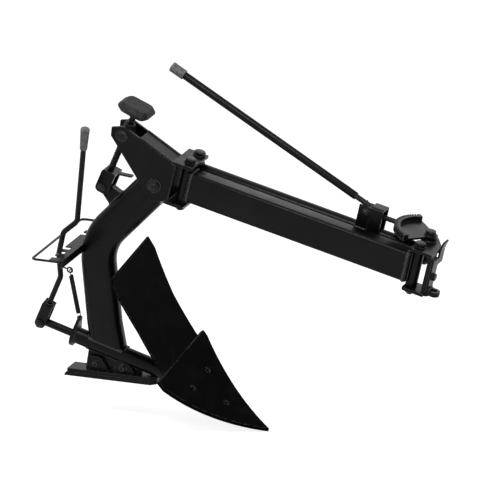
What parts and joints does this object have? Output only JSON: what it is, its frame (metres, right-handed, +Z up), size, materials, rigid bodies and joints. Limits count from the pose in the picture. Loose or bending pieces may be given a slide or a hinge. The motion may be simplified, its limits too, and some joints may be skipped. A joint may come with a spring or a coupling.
{
  "type": "moldboard plough",
  "caption": "Reversible mouldboard plough for a walking tractor: parallel beam with a width lever, gooseneck leg with depth screw, rolling body and turning lever.",
  "frame": {"origin": "middle of the hitch pin bore in the bracket's tongue", "axes": "+X forwards along the plough to the hitch, +Y to its left, +Z up with the sole level"},
  "size_m": [1.0885, 0.3488, 0.9234],
  "materials": {
    "black_paint": "semi-gloss black paint on steel",
    "sheet_paint": "thin black paint on rolled steel sheet",
    "cast_black": "black painted casting",
    "black_bolts": "blackened steel fasteners",
    "oiled_steel": "blackened, lightly oiled steel",
    "grip_rubber": "worn black rubber"
  },
  "bodies": {
    "hitch": {"hitch_top_plate": "black_paint", "hitch_bottom_plate": "black_paint", "hitch_web": "black_paint", "hitch_tongue": "black_paint", "hitch_guide": "black_paint", "front_beam_pin": "black_bolts", "front_link_pin": "black_bolts", "sector": "black_paint"},
    "beam": {"beam_tube": "black_paint", "beam_front_barrel": "black_paint", "beam_rear_barrel": "black_paint"},
    "link": {"link_tube": "black_paint", "link_front_barrel": "black_paint", "link_rear_barrel": "black_paint", "lever_ears": "black_paint", "lever_strap": "black_paint", "lever_pin": "black_bolts"},
    "width_lever": {"pawl_lever": "cast_black", "width_lever_tube": "black_paint", "width_lever_grip": "grip_rubber"},
    "head": {"head_top_plate": "black_paint", "head_bottom_plate": "black_paint", "head_web": "black_paint", "head_side_right": "black_paint", "head_side_left": "black_paint", "head_bridge": "black_paint", "rear_beam_pin": "black_bolts", "rear_link_pin": "black_bolts", "leg_pivot_bolt": "black_bolts"},
    "trunnion": {"trunnion": "cast_black"},
    "screw": {"depth_screw": "oiled_steel", "depth_knob": "cast_black", "screw_yoke": "black_paint", "yoke_tab": "black_paint", "screw_yoke_pin": "black_bolts"},
    "leg": {"leg_tube": "black_paint", "yoke_lug": "black_paint", "bearing_tube": "black_paint", "foot_plate": "black_paint", "heel_bar": "black_paint", "heel_bolts": "black_bolts", "sole_plate": "black_paint", "comb": "black_paint", "guard_wire": "oiled_steel", "turn_spring": "oiled_steel"},
    "plough_body": {"body_shaft": "oiled_steel", "mouldboard": "sheet_paint", "share": "sheet_paint", "frog": "black_paint", "turn_yoke": "black_paint", "turn_pin": "black_bolts", "turning_lever": "black_paint", "turning_grip": "grip_rubber", "spring_eye": "black_paint"}
  },
  "joints": [
    {"name": "beam_swing", "type": "hinge", "parent": "hitch", "child": "beam", "pos_m": [-0.04907, 0, 0.06155], "axis": [0.2317, 0, 0.9728], "range_deg": [-25, 25]},
    {"name": "link_swing", "type": "hinge", "parent": "hitch", "child": "link", "pos_m": [-0.04907, 0.062, 0.06155], "axis": [0.2317, 0, 0.9728], "range_deg": [-25, 25]},
    {"name": "head_swing", "type": "hinge", "parent": "beam", "child": "head", "pos_m": [-0.66581, 0, 0.20848], "axis": [0.2317, 0, 0.9728], "range_deg": [-25, 25]},
    {"name": "width_lever_lift", "type": "hinge", "parent": "link", "child": "width_lever", "pos_m": [-0.1978, 0.062, 0.17511], "axis": [0, -1, 0], "range_deg": [0, 6]},
    {"name": "leg_pitch", "type": "hinge", "parent": "head", "child": "leg", "pos_m": [-0.73682, 0, 0.20339], "axis": [0, -1, 0], "range_deg": [-8, 8]},
    {"name": "screw_tilt", "type": "hinge", "parent": "leg", "child": "screw", "pos_m": [-0.8832, 0, 0.17837], "axis": [0, -1, 0], "range_deg": [-4, 4]},
    {"name": "trunnion_turn", "type": "hinge", "parent": "head", "child": "trunnion", "pos_m": [-0.82348, 0, 0.32399], "axis": [0, -1, 0], "range_deg": [-4, 4]},
    {"name": "body_roll", "type": "hinge", "parent": "leg", "child": "plough_body", "pos_m": [-0.86789, 0, -0.25185], "axis": [0.9608, 0, -0.2773], "range_deg": [-42.3, 15.7], "deforming": ["turn_spring"]}
  ],
  "couplings": [
    {"joint": "link_swing", "follows": "beam_swing", "ratio": 1},
    {"joint": "head_swing", "follows": "beam_swing", "ratio": -1},
    {"joint": "screw_tilt", "follows": "leg_pitch", "ratio": -0.5},
    {"joint": "trunnion_turn", "follows": "leg_pitch", "ratio": 0.5}
  ]
}
